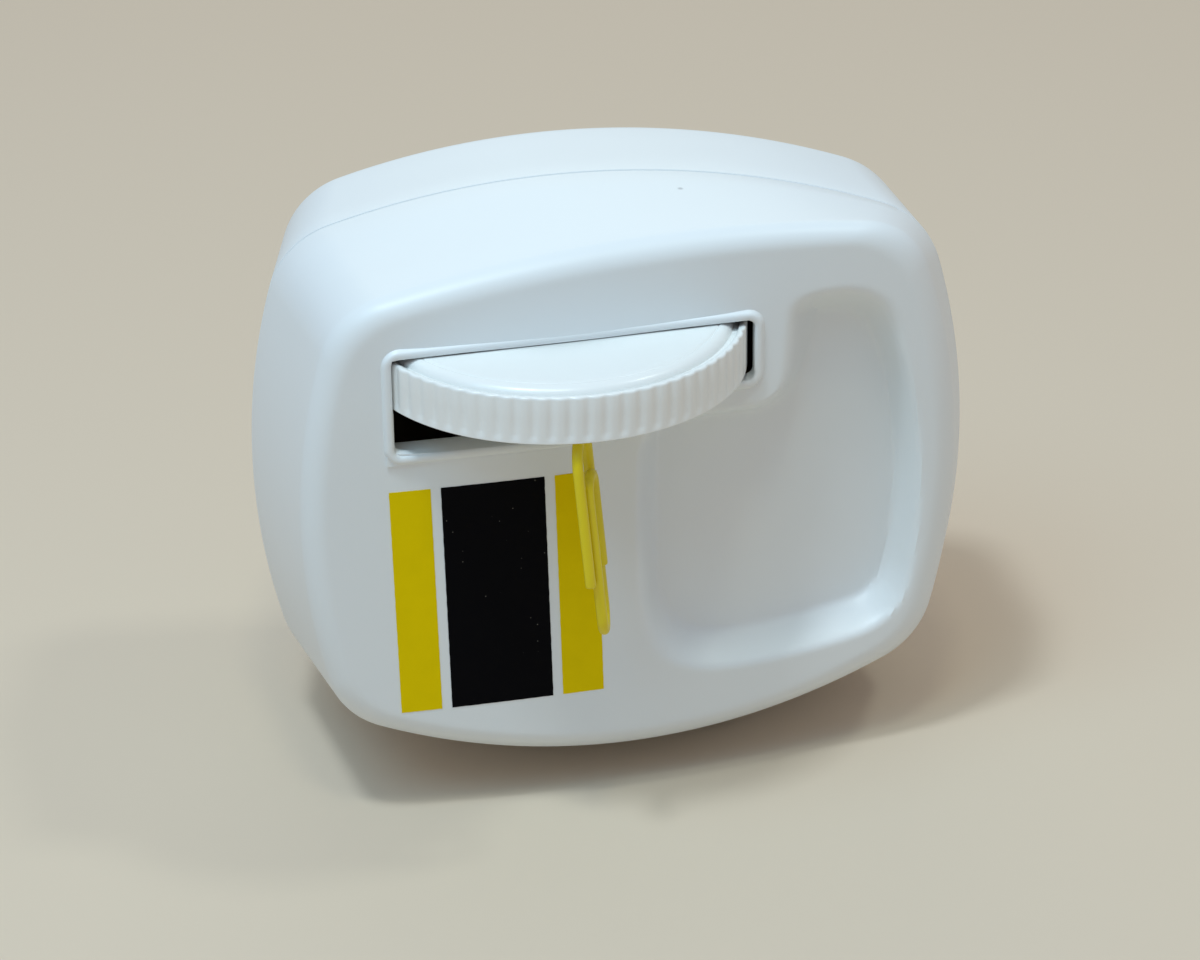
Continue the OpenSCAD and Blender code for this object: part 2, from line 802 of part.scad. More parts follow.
// A flat patch of ink on the face
module ink(left, width) {
    low = mid_z + print_rise - print_h;
    intersection() {
        translate([left, face_y(left) - wall, low])
            cube([width, face_y(left + width) - face_y(left) + 2 * wall, print_h]);
        face_skin(0, ink_h);
    }
}

panel_left = print_left + stripe_left_w + print_gap;
stripe_right_left = panel_left + panel_w + print_gap;

module stripe_left() {
    color("#e3d000")
        ink(print_left, stripe_left_w);
}

module black_panel() {
    color("#17171a")
        ink(panel_left, panel_w);
}

module stripe_right() {
    color("#e3d000")
        ink(stripe_right_left, stripe_right_w);
}

// Half a loop of the clip's wire from a first to a second point at one height, bulging up or down
turn_steps = 10;
function bend(from, to, up) =
    let (
        mid = (from + to) / 2,
        across = from - mid
    )
    [
        for (i = [0:turn_steps])
            let (a = 180 * i / turn_steps)
            mid + cos(a) * across + [0, 0, up * norm(across) * sin(a)]
    ];

// The clip hangs along -Z from its top, with its width along +Y, and its inner loop is sprung out to +X
clip_top = -(wire_d + clip_w) / 2;
clip_low = -clip_len + (wire_d + norm([clip_w - clip_inner, clip_spring])) / 2;
clip_mid = -clip_inner_top - (wire_d + clip_inner_w) / 2;
clip_far = clip_inner + clip_inner_w;
clip_path = concat(
    [[0, 0, -clip_leg]],
    bend([0, 0, clip_top], [0, clip_w, clip_top], 1),
    bend([0, clip_w, clip_low], [clip_spring, clip_inner, clip_low], -1),
    bend([clip_spring, clip_inner, clip_mid], [clip_spring, clip_far, clip_mid], 1),
    [[clip_spring, clip_far, -clip_tail]]
);

// The wire's round section at one point of its path
wire_sides = 12;
function along(i) =
    let (v = clip_path[min(i + 1, len(clip_path) - 1)] - clip_path[max(i - 1, 0)])
    v / norm(v);
function wire_ring(i) =
    let (
        t = along(i),
        s = cross(t, [1, 0, 0]),
        u = s / norm(s),
        w = cross(u, t)
    )
    [
        for (k = [0:wire_sides - 1])
            let (a = 360 * k / wire_sides)
            clip_path[i] + wire_d / 2 * (w * cos(a) - u * sin(a))
    ];

module paper_clip() {
    reach = wheel_r - clip_inset;
    color("#e6d200")
        at_wheel(wheel_z - clip_gap)
            translate([reach * sin(clip_round), -reach * cos(clip_round), 0])
                rotate([0, 0, -clip_turn])
                    rotate([0, -clip_lean, 0])
                        loft(
                            [for (i = [0:len(clip_path) - 1]) wire_ring(i)],
                            clip_path[0], clip_path[len(clip_path) - 1]
                        );
}

front_shell();
rear_cover();
wheel_rim();
wheel_cap();
magnet(0);  // magnet_1
magnet(1);  // magnet_2
magnet(2);  // magnet_3
magnet(3);  // magnet_4
magnet(4);  // magnet_5
magnet(5);  // magnet_6
axle_pin();
thrust_washer();
push_nut();
wheel_bridge();
bridge_screws();
foot(-foot_x, seam_y - foot_front);  // foot_front_left
foot(foot_x, seam_y - foot_front);  // foot_front_right
foot(-foot_x, seam_y + foot_rear);  // foot_rear_left
foot(foot_x, seam_y + foot_rear);  // foot_rear_right
stripe_left();
black_panel();
stripe_right();
paper_clip();
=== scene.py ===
"""Looks of the paper clip dispenser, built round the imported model.

Sizes are in mm and become metres in build(). X runs to the right, Y to the back and Z up.
"""
import math

import bmesh
import bpy
import numpy as np
from mathutils import Matrix, Vector


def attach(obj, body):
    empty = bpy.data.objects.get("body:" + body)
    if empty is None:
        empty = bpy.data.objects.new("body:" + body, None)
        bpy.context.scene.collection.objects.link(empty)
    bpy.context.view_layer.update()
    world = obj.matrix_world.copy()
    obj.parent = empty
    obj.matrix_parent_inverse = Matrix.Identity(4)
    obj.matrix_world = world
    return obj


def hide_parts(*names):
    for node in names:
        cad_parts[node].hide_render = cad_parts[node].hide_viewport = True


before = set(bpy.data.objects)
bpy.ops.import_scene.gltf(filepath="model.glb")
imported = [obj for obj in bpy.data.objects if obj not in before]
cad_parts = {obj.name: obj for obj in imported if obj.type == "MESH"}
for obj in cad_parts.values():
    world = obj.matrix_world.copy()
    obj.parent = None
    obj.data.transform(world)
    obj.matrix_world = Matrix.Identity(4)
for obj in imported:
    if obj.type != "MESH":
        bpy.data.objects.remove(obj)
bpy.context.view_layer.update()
MM = 0.001

# Body
BODY_W = 109.0
BODY_H = 90.0
FRONT_DEPTH = 27.0
REAR_DEPTH = 30.5
SIDE_RADIUS = 106.0
TOP_RADIUS = 128.0
BOTTOM_RADIUS = 114.0
CORNER_RADIUS = 14.2
WALL = 2.0
FRONT_FILLET = 3.6
REAR_FILLET = 7.0
REAR_SLOPE = math.tan(math.radians(6.7))
GROUND_GAP = 0.6

# Seam, with softened edges and a tongue on the rear cover
SEAM_GAP = 0.3
EDGE_IN = 0.25
EDGE_OUT = 0.06
EDGE_BACK = 0.12
TONGUE_LEN = 3.0
TONGUE_WALL = 1.4
TONGUE_GAP = 0.35

# Face: part of a large, turned cylinder, with an outline set in from the seam's
FACE_TURN = math.radians(10)
FACE_RADIUS = 516.0
FACE_LEFT = 7.5
FACE_RIGHT = 3.5
FACE_TOP = 1.0
FACE_LOW = 6.6
FACE_CROWN = 10.0
FACE_SIDE_RADIUS = 100.0
FACE_TOP_RADIUS = 207.0
FACE_LOW_RADIUS = 100.0
FACE_CORNER = 12.0

# Wheel
WHEEL_R = 28.3
WHEEL_BAND = 7.3
WHEEL_FLOOR = 3.4
WHEEL_X = -9.1
WHEEL_AHEAD = 17.6
WHEEL_Z = GROUND_GAP + 67.1
RIB_COUNT = 68
RIB_DEPTH = 0.25
RIB_STEPS = 14
CAP_PROUD = 0.6
CAP_H = 2.2
CAP_R = WHEEL_R - 1.26
CAP_SHOULDER = 2.5
CAP_DROP = 1.7
CAP_GROOVE = 0.7
CAP_FLOOR = 0.95
HUB_R = 5.0
AXLE_R = 1.55

# Slot and sill
FRAME_W = 1.3
FRAME_H = 0.7
SLOT_RADIUS = 1.2
SLOT_TOP_GAP = 0.18
SLOT_LEFT_GAP = 0.4
SLOT_RIGHT_GAP = 0.8
HOLLOW_UNDER = 0.4
HOLLOW_LAP = 0.05
STEP_GAP = 1.6
EXIT_W = 30.0
EXIT_H = 7.3
SILL_DEPTH = 4.7
SILL_H = 1.5
SILL_PROUD = 0.08
SILL_PLAY = 0.06
SILL_FILL_W = 4.0
SILL_FILL_H = 1.1

# Finger tray: its outline grows by TRAY_GROW for each mm behind the face
TRAY_W = 45.3
TRAY_H = 60.7
TRAY_X = 23.9
TRAY_RISE = 3.1
TRAY_DEPTH = 6.0
TRAY_SLOPE = 4.4
TRAY_EASE = 2.8
TRAY_GROW = 0.7
NECK_W = 2.7

# Prints: they lean by PRINT_LEAN for each mm of height
PRINT_LOW = 17.3
PRINT_H = 36.7
PRINT_LEAN = -0.02

# Feet
FOOT_X = (-15.0, 15.0)
FOOT_AHEAD = 5.2
FOOT_BEHIND = 22.0
PAD_LOW = 2.6
PAD_R = 4.3
PAD_HOLE_R = 3.6

# Paper clip
CLIP_WIRE = 1.6
CLIP_LEN = 33.0
CLIP_W = 7.9
CLIP_INNER_X = 1.7
CLIP_INNER_W = 4.4
CLIP_INNER_TOP = 6.4
CLIP_OUTER_END = 23.2
CLIP_INNER_END = 22.6
CLIP_SPRING = 0.8
CLIP_TURN = math.radians(-14)
CLIP_LEAN = math.radians(-5)
CLIP_ROUND = math.radians(1.5)
CLIP_INSET = 1.5
CLIP_DROP = 0.25

# Places that follow from the sizes
HALF_W = BODY_W / 2
HALF_H = BODY_H / 2
MID_Z = GROUND_GAP + HALF_H
SEAM_Y = (WHEEL_AHEAD + WHEEL_R - REAR_DEPTH) / 2
BACK_Y = SEAM_Y + REAR_DEPTH
WHEEL_Y = SEAM_Y - WHEEL_AHEAD
WHEEL_MID = (WHEEL_X, WHEEL_Y)
CAP_TOP = WHEEL_Z + WHEEL_BAND + CAP_PROUD
TRAY_Z = MID_Z + TRAY_RISE
FACE_SHIFT = (FACE_LEFT - FACE_RIGHT) / 2
FACE_LIFT = (FACE_LOW - FACE_TOP) / 2
FACE_Z = MID_Z + FACE_LIFT
FACE_MID = (-FACE_RADIUS * math.sin(FACE_TURN), SEAM_Y - FRONT_DEPTH + FACE_RADIUS * math.cos(FACE_TURN))


def face_y(x):
    """Where the face lies over a place across it."""
    return FACE_MID[1] - np.sqrt(FACE_RADIUS ** 2 - (np.asarray(x) - FACE_MID[0]) ** 2)


def crossing(c0, r0, c1, r1, side):
    """Where two circles cross, on one side of the line from the first to the second."""
    c0, c1 = np.array(c0, float), np.array(c1, float)
    v = c1 - c0
    d = np.linalg.norm(v)
    a = (r0 * r0 - r1 * r1 + d * d) / (2 * d)
    h = math.sqrt(r0 * r0 - a * a)
    return c0 + v * (a / d) + np.array([-v[1], v[0]]) * (side * h / d)


HOLLOW_R = WHEEL_R + SLOT_LEFT_GAP
SLOT_LEFT = crossing(FACE_MID, FACE_RADIUS + FRAME_H, WHEEL_MID, HOLLOW_R, -1)[0]
SLOT_RIGHT = crossing(FACE_MID, FACE_RADIUS - WALL, WHEEL_MID, WHEEL_R, 1)[0] + SLOT_RIGHT_GAP
SLOT_TOP = CAP_TOP + SLOT_TOP_GAP
SLOT_LOW = WHEEL_Z - EXIT_H
SLOT_STEP = WHEEL_Z - STEP_GAP
EXIT_RIGHT = SLOT_LEFT + EXIT_W
NECK_X = SLOT_RIGHT + FRAME_W + NECK_W
NECK_Z = SLOT_STEP - FRAME_W - NECK_W


# Meshes
def build(name, verts, faces, body, material, smooth=35):
    """One piece from points in mm, riding on a body, smooth except at sharp edges."""
    mesh = bpy.data.meshes.new(name)
    mesh.from_pydata((np.asarray(verts, float) * MM).tolist(), [], faces)
    mesh.validate()
    solid = bmesh.new()
    solid.from_mesh(mesh)
    bmesh.ops.recalc_face_normals(solid, faces=solid.faces)
    solid.to_mesh(mesh)
    solid.free()
    obj = bpy.data.objects.new(name, mesh)
    bpy.context.scene.collection.objects.link(obj)
    if material is not None:
        mesh.materials.append(material)
    finish_shading(obj, smooth)
    if body is not None:
        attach(obj, body)
    return obj


def finish_shading(obj, smooth):
    obj.data.shade_smooth()
    obj.data.set_sharp_from_angle(angle=math.radians(smooth))


def band_faces(rings, count, wrap=False):
    """Quads between rings of equal length, from the first ring to the last, and back to it if they wrap."""
    faces = []
    for j in range(rings if wrap else rings - 1):
        a0 = j * count
        b0 = ((j + 1) % rings) * count
        for i in range(count):
            k = (i + 1) % count
            faces.append((a0 + i, a0 + k, b0 + k, b0 + i))
    return faces


def skin(rings, first, last):
    """A closed skin through rings, with a fan over its first and last ring."""
    count = len(rings[0])
    verts = np.concatenate([np.asarray(r) for r in rings] + [np.array([first, last])])
    faces = band_faces(len(rings), count)
    top = len(rings) * count
    base = top - count
    for i in range(count):
        k = (i + 1) % count
        faces.append((top, k, i))
        faces.append((top + 1, base + i, base + k))
    return verts, faces


def paint_inside_shade(obj, start, end, fan):
    """Paints shade on a shell's inner bands, and on the fan over its first (0) or last (1) ring: a dark brown
    that stands in for the shade inside the body.
    """
    obj.data.materials.append(INSIDE_SHADE)
    count = len(OUTLINE)
    fans = len(obj.data.polygons) - 2 * count
    for face in obj.data.polygons:
        if face.index < fans:
            dark = start <= face.index // count < end
        else:
            dark = (face.index - fans) % 2 == fan
        face.material_index = 1 if dark else 0


def cut_away(obj, cutters, smooth=35):
    """Cuts closed pieces out of an object and throws them away."""
    for cutter in cutters:
        mod = obj.modifiers.new("cut", "BOOLEAN")
        mod.operation = "DIFFERENCE"
        mod.solver = "EXACT"
        mod.object = cutter
        graph = bpy.context.evaluated_depsgraph_get()
        mesh = bpy.data.meshes.new_from_object(obj.evaluated_get(graph))
        obj.modifiers.clear()
        obj.data = mesh
        bpy.data.objects.remove(cutter)
    finish_shading(obj, smooth)


def prism(outline, y0, y1):
    """A closed prism of an outline in X and Z, between two depths."""
    n = len(outline)
    verts = [(x, y0, z) for x, z in outline] + [(x, y1, z) for x, z in outline]
    faces = [tuple(range(n)), tuple(range(2 * n - 1, n - 1, -1))]
    faces += [((i + 1) % n, i, n + i, n + (i + 1) % n) for i in range(n)]
    return verts, faces


def circle(place, r, z, steps):
    """A level ring of points round a place in plan."""
    a = np.linspace(0, 2 * math.pi, steps, endpoint=False)
    return np.stack([place[0] + r * np.cos(a), place[1] + r * np.sin(a), np.full(steps, float(z))], axis=1)


def post(place, r, z0, z1, steps=96):
    """A closed upright cylinder over a place in plan."""
    return skin([circle(place, r, z0, steps), circle(place, r, z1, steps)], (*place, z0), (*place, z1))


def lathe(profile, columns, wave=None):
    """A closed solid of revolution about Z from a loop of radius and height.

    A third value in a row is the share of the wave that is added to its radius.
    """
    a = np.linspace(0, 2 * math.pi, columns, endpoint=False)
    rings = []
    for row in profile:
        r = np.full(columns, float(row[0]))
        if len(row) > 2:
            r = r + row[2] * wave(a)
        rings.append(np.stack([r * np.cos(a), r * np.sin(a), np.full(columns, float(row[1]))], axis=1))
    return np.concatenate(rings), band_faces(len(rings), columns, wrap=True)


def tube(path, r, sides):
    """A wire along a path, with slightly rounded ends."""
    d = np.gradient(path, axis=0)
    d /= np.linalg.norm(d, axis=1)[:, None]
    s = np.cross(d, (1, 0, 0))
    s /= np.linalg.norm(s, axis=1)[:, None]
    w = np.cross(s, d)
    a = np.linspace(0, 2 * math.pi, sides, endpoint=False)
    rings = []
    for i in range(len(path)):
        rings.append(path[i] + r * (np.cos(a)[:, None] * w[i] - np.sin(a)[:, None] * s[i]))
    first, last = path[0], path[-1]
    start = [first + (rings[0] - first) * 0.72, first + d[0] * 0.12 + (rings[0] - first) * 0.96]
    end = [last - d[-1] * 0.12 + (rings[-1] - last) * 0.96, last + (rings[-1] - last) * 0.72]
    rings = start + [rings[0] + d[0] * 0.35] + rings[1:-1] + [rings[-1] - d[-1] * 0.35] + end
    return skin(rings, first, last)


def between(a, b, share):
    return a + (b - a) * share


# Outlines of the seam and of the face
def arc(mid, r, start, end, steps):
    a = np.radians(start + (end - start) * np.arange(steps) / steps)
    return np.stack([mid[0] + r * np.cos(a), mid[1] + r * np.sin(a)], axis=1)


def heading(p, q):
    return math.degrees(math.atan2(q[1] - p[1], q[0] - p[0])) % 360


def bulged(half_w, half_h, side_r, top_r, low_r, corner_r, crown):
    """Four long arcs with round corners about the middle, with the top's highest point moved to one side."""
    right, left = (half_w - side_r, 0), (side_r - half_w, 0)
    top, low = (crown, half_h - top_r), (0, low_r - half_h)
    tr = crossing(right, side_r - corner_r, top, top_r - corner_r, 1)
    tl = crossing(left, side_r - corner_r, top, top_r - corner_r, -1)
    lr = crossing(right, side_r - corner_r, low, low_r - corner_r, -1)
    ll = crossing(left, side_r - corner_r, low, low_r - corner_r, 1)
    return np.concatenate([
        arc(right, side_r, heading(right, lr) - 360, heading(right, tr), 34),
        arc(tr, corner_r, heading(right, tr), heading(top, tr), 22),
        arc(top, top_r, heading(top, tr), heading(top, tl), 52),
        arc(tl, corner_r, heading(top, tl), heading(left, tl), 22),
        arc(left, side_r, heading(left, tl), heading(left, ll), 34),
        arc(ll, corner_r, heading(left, ll), heading(low, ll), 22),
        arc(low, low_r, heading(low, ll), heading(low, lr), 52),
        arc(lr, corner_r, heading(low, lr), heading(right, lr), 22),
    ])


FACE_HALF_W = (BODY_W - FACE_LEFT - FACE_RIGHT) / 2
FACE_HALF_H = (BODY_H - FACE_TOP - FACE_LOW) / 2
OUTLINE = bulged(HALF_W, HALF_H, SIDE_RADIUS, TOP_RADIUS, BOTTOM_RADIUS, CORNER_RADIUS, 0)
FACE_OUTLINE = bulged(FACE_HALF_W, FACE_HALF_H, FACE_SIDE_RADIUS, FACE_TOP_RADIUS, FACE_LOW_RADIUS,
                      FACE_CORNER, FACE_CROWN)


def flat_ring(y, d):
    """The seam's outline at a depth, set in by a distance."""
    x = OUTLINE[:, 0] * (1 - d / HALF_W)
    z = MID_Z + OUTLINE[:, 1] * (1 - d / HALF_H)
    return np.stack([x, np.full(len(x), y), z], axis=1)


# Finger tray
def soft_step(t):
    s = np.clip(t, 0, 1)
    return s * s * (3 - 2 * s)


def slope_step(t, turn=0.3):
    """A straight slope from 0 to 1 that is eased over a share of its length at each end."""
    s = np.clip(t, 0, 1)
    rest = 1 - s
    ease = 2 * turn * (1 - turn)
    straight = (s - turn / 2) / (1 - turn)
    return np.where(s < turn, s * s / ease, np.where(rest < turn, 1 - rest * rest / ease, straight))


def soft_corners(corners, steps=16):
    """An outline through corners given as x, z and the length each soft curve takes from its two sides."""
    points = []
    n = len(corners)
    for i, (x, z, cut) in enumerate(corners):
        c = np.array([x, z])
        u = np.array(corners[i - 1][:2]) - c
        v = np.array(corners[(i + 1) % n][:2]) - c
        a, b = c + u / np.linalg.norm(u) * cut, c + v / np.linalg.norm(v) * cut
        for t in np.linspace(0, 1, steps + 1):
            points.append((1 - t) ** 2 * a + 2 * t * (1 - t) * c + t * t * b)
    return np.array(points)


def tray_corner(u, v, cut):
    return (TRAY_X + u * TRAY_W / 2, TRAY_Z + v * TRAY_H / 2, cut)


TRAY = soft_corners([
    tray_corner(0.77, 1.0, 10), (NECK_X + 0.6, TRAY_Z + TRAY_H / 2, 6), (NECK_X, NECK_Z, 4.5),
    (TRAY_X - 0.97 * TRAY_W / 2, NECK_Z, 7), tray_corner(-1.0, -0.1, 12), tray_corner(-0.96, -0.98, 14),
    tray_corner(-0.17, -1.025, 9), tray_corner(0.89, -0.915, 9), tray_corner(1.05, -0.08, 16),
])


def inside_distance(x, z, outline):
    """How far points lie inside a closed outline, below zero outside it."""
    p = np.stack([x, z], axis=-1)
    best = np.full(np.shape(x), np.inf)
    inside = np.zeros(np.shape(x), bool)
    for a, b in zip(outline, np.roll(outline, -1, axis=0)):
        ab = b - a
        length = np.dot(ab, ab)
        if length < 1e-12:
            continue
        t = np.clip((p - a) @ ab / length, 0, 1)
        best = np.minimum(best, np.linalg.norm(p - a - t[..., None] * ab, axis=-1))
        if a[1] != b[1]:
            inside ^= ((a[1] > z) != (b[1] > z)) & (x < a[0] + (z - a[1]) / (b[1] - a[1]) * ab[0])
    return np.where(inside, best, -best)


def tray_sink(x, z, depth):
    """How far the tray sinks the face, or a surface a depth behind it. Its upper wall is less steep."""
    x, z = np.asarray(x, float), np.asarray(z, float)
    high = soft_step(((z - TRAY_Z) / (TRAY_H / 2) - 0.4) / 0.5)
    reach = inside_distance(x, z, TRAY) + TRAY_GROW * depth
    return TRAY_DEPTH * slope_step(reach / (TRAY_SLOPE + TRAY_EASE * high))


# Slot
def rounded(corners, r, steps=8):
    """An outline whose square corners are rounded, with its outward normals."""
    points, normals = [], []
    n = len(corners)
    for i in range(n):
        c = np.array(corners[i])
        u = np.array(corners[i - 1]) - c
        v = np.array(corners[(i + 1) % n]) - c
        u, v = u / np.linalg.norm(u), v / np.linalg.norm(v)
        hollow = u[0] * v[1] - u[1] * v[0] > 0
        for k in range(steps + 1):
            a = math.radians(90 * k / steps)
            w = v * math.cos(a) + u * math.sin(a)
            points.append(c + r * (u + v) - r * w)
            normals.append(w if hollow else -w)
    return np.array(points), np.array(normals)


def slot_outline():
    """The slot: deep at its left, where clips come out, with a step up to its right end."""
    corners = [(SLOT_LEFT, SLOT_TOP), (SLOT_LEFT, SLOT_LOW), (EXIT_RIGHT, SLOT_LOW),
               (EXIT_RIGHT, SLOT_STEP), (SLOT_RIGHT, SLOT_STEP), (SLOT_RIGHT, SLOT_TOP)]
    return rounded(corners, SLOT_RADIUS)


def wheel_hollow(r):
    """A cutter that clears the slot's left end for the wheel, where it runs back behind the face."""
    return build("wheel_cutter", *post(WHEEL_MID, r, WHEEL_Z - HOLLOW_UNDER, SLOT_TOP, 480), None, None)


# Materials
def new_material(name):
    """A material, its node tree, its shader and the object's own coordinates."""
    mat = bpy.data.materials.new(name)
    mat.use_nodes = True
    tree = mat.node_tree
    coords = tree.nodes.new("ShaderNodeTexCoord").outputs["Object"]
    return mat, tree, tree.nodes["Principled BSDF"], coords


def noise(tree, coords, scale, detail):
    node = tree.nodes.new("ShaderNodeTexNoise")
    node.inputs["Scale"].default_value = scale
    node.inputs["Detail"].default_value = detail
    tree.links.new(coords, node.inputs["Vector"])
    return node.outputs["Fac"]


def two_tones(tree, value, start, end, dark, light):
    """A colour that goes from dark to light while a value goes from start to end."""
    ramp = tree.nodes.new("ShaderNodeValToRGB")
    for element, position, color in zip(ramp.color_ramp.elements, (start, end), (dark, light)):
        element.position = position
        element.color = (*color, 1)
    tree.links.new(value, ramp.inputs["Fac"])
    return ramp.outputs["Color"]


def math_node(tree, operation, first, second):
    """The result of an operation on a socket and another socket or a number."""
    node = tree.nodes.new("ShaderNodeMath")
    node.operation = operation
    tree.links.new(first, node.inputs[0])
    if isinstance(second, float):
        node.inputs[1].default_value = second
    else:
        tree.links.new(second, node.inputs[1])
    return node.outputs["Value"]


def dots(tree, coords, under, color, scale, share, outer, inner):
    """Small dots over a colour, in a share of random cells, fading from an outer to an inner radius."""
    cells = tree.nodes.new("ShaderNodeTexVoronoi")
    cells.inputs["Scale"].default_value = scale
    tree.links.new(coords, cells.inputs["Vector"])
    chance = tree.nodes.new("ShaderNodeSeparateColor")
    tree.links.new(cells.outputs["Color"], chance.inputs["Color"])
    near = tree.nodes.new("ShaderNodeMapRange")
    near.inputs["From Min"].default_value = outer
    near.inputs["From Max"].default_value = inner
    tree.links.new(cells.outputs["Distance"], near.inputs["Value"])
    chosen = math_node(tree, "LESS_THAN", chance.outputs["Red"], share)
    mix = tree.nodes.new("ShaderNodeMix")
    mix.data_type = "RGBA"
    mix.inputs["B"].default_value = (*color, 1)
    tree.links.new(math_node(tree, "MULTIPLY", chosen, near.outputs["Result"]), mix.inputs["Factor"])
    tree.links.new(under, mix.inputs["A"])
    return mix.outputs["Result"]


def uneven_gloss(tree, shader, value, rough, spread):
    """Roughness that a value moves to either side of its mean."""
    node = tree.nodes.new("ShaderNodeMapRange")
    node.inputs["To Min"].default_value = rough - spread
    node.inputs["To Max"].default_value = rough + spread
    tree.links.new(value, node.inputs["Value"])
    tree.links.new(node.outputs["Result"], shader.inputs["Roughness"])


def relief(tree, shader, value, strength, height):
    node = tree.nodes.new("ShaderNodeBump")
    node.inputs["Strength"].default_value = strength
    node.inputs["Distance"].default_value = height
    tree.links.new(value, node.inputs["Height"])
    tree.links.new(node.outputs["Normal"], shader.inputs["Normal"])


def plastic(name, color, rough, warm=0.0, specks=0.0, bump=0.02, coat=0.0):
    """Moulded plastic: faint clouds in colour and gloss, a fine surface grain and a few dust specks."""
    mat, tree, shader, coords = new_material(name)
    shader.inputs["Coat Weight"].default_value = coat
    shader.inputs["Coat Roughness"].default_value = 0.12
    shader.inputs["IOR"].default_value = 1.5
    clouds = noise(tree, coords, 28, 3)
    shaded = np.array(color) * np.array([0.972, 0.975, 0.975 - warm])
    tone = two_tones(tree, clouds, 0.3, 0.7, shaded, color)
    if specks:
        tone = dots(tree, coords, tone, (0.5, 0.52, 0.54), 95, specks, 0.055, 0.03)
    tree.links.new(tone, shader.inputs["Base Color"])
    uneven_gloss(tree, shader, clouds, rough, 0.05)
    relief(tree, shader, noise(tree, coords, 900, 2), bump, 0.0004)
    return mat


def ink(name, color, pinholes, rough=0.42):
    """Printed ink: a little uneven, with fine pinholes where some of the plastic shows through."""
    mat, tree, shader, coords = new_material(name)
    shader.inputs["Roughness"].default_value = rough
    shader.inputs["Specular IOR Level"].default_value = 0.04
    mottle = noise(tree, coords, 240, 4)
    full = np.array(color)
    tone = two_tones(tree, mottle, 0.25, 0.75, full * 0.96, np.minimum(full * 1.02, 1))
    tone = dots(tree, coords, tone, (0.16, 0.15, 0.13), 900, pinholes, 0.1, 0.05)
    tree.links.new(tone, shader.inputs["Base Color"])
    relief(tree, shader, mottle, 0.08, 0.0002)
    return mat


def worn(name, dark, light, rough, metal=0.0, scale=400, bump=0.1):
    """Metal, magnet, rubber, or plastic with painted shade: two close tones, with uneven gloss and relief."""
    mat, tree, shader, coords = new_material(name)
    shader.inputs["Metallic"].default_value = metal
    mottle = noise(tree, coords, scale, 5)
    tree.links.new(two_tones(tree, mottle, 0.3, 0.7, dark, light), shader.inputs["Base Color"])
    uneven_gloss(tree, shader, mottle, rough, 0.08)
    relief(tree, shader, mottle, bump, 0.0003)
    return mat


WHITE = plastic("white_plastic", (0.80, 0.84, 0.855), 0.42, specks=0.006)
CREAM = plastic("wheel_plastic", (0.84, 0.855, 0.84), 0.3, warm=0.01, specks=0.004, coat=0.15)
BRIDGE = plastic("bridge_plastic", (0.62, 0.65, 0.66), 0.55)
ACETAL = plastic("washer_plastic", (0.62, 0.55, 0.38), 0.5)
VINYL = plastic("clip_vinyl", (0.76, 0.62, 0.0), 0.42, bump=0.05, coat=0.04)
YELLOW = ink("yellow_ink", (0.80, 0.61, 0.0), 0.004)
BLACK = ink("black_ink", (0.002, 0.002, 0.003), 0.3, rough=0.55)
# Painted shade: the shells' inner faces get a dark brown in place of the shade inside the body.
INSIDE_SHADE = worn("painted_shade_inside", (0.10, 0.058, 0.040), (0.14, 0.082, 0.058), 0.7, scale=60, bump=0.05)
STEEL = worn("steel", (0.42, 0.43, 0.44), (0.62, 0.63, 0.64), 0.3, metal=1.0)
MAGNET = worn("magnet", (0.03, 0.03, 0.033), (0.07, 0.07, 0.075), 0.6, metal=0.3)
RUBBER = worn("rubber", (0.012, 0.012, 0.012), (0.03, 0.03, 0.03), 0.75, scale=700, bump=0.2)


# Front shell
def front_ring(t, turn):
    """A ring a depth t under the front shell: on its wall at a turn of 90 degrees, on its face at 0."""
    r = FRONT_FILLET - t
    sunk = r * (1 - math.cos(turn))
    whole = SEAM_Y - face_y(FACE_OUTLINE[:, 0] + FACE_SHIFT)
    share = ((whole - t - sunk) / whole)[:, None]
    keep = 1 - (t + r * (1 - math.sin(turn))) / np.array([HALF_W, HALF_H])
    p = np.array([FACE_SHIFT, FACE_LIFT]) * share + between(OUTLINE, FACE_OUTLINE, share) * keep
    return np.stack([p[:, 0], face_y(p[:, 0]) + t + sunk, MID_Z + p[:, 1]], axis=1)


def face_ring(t, share):
    """A ring on the face, or a depth t behind it, shrunk about the face's middle."""
    edge = front_ring(t, 0)
    x = between(FACE_SHIFT, edge[:, 0], share)
    z = between(FACE_Z, edge[:, 2], share)
    return np.stack([x, face_y(x) + t + tray_sink(x, z, t), z], axis=1)


def face_centre(t):
    return (FACE_SHIFT, face_y(FACE_SHIFT) + t + tray_sink(FACE_SHIFT, FACE_Z, t), FACE_Z)


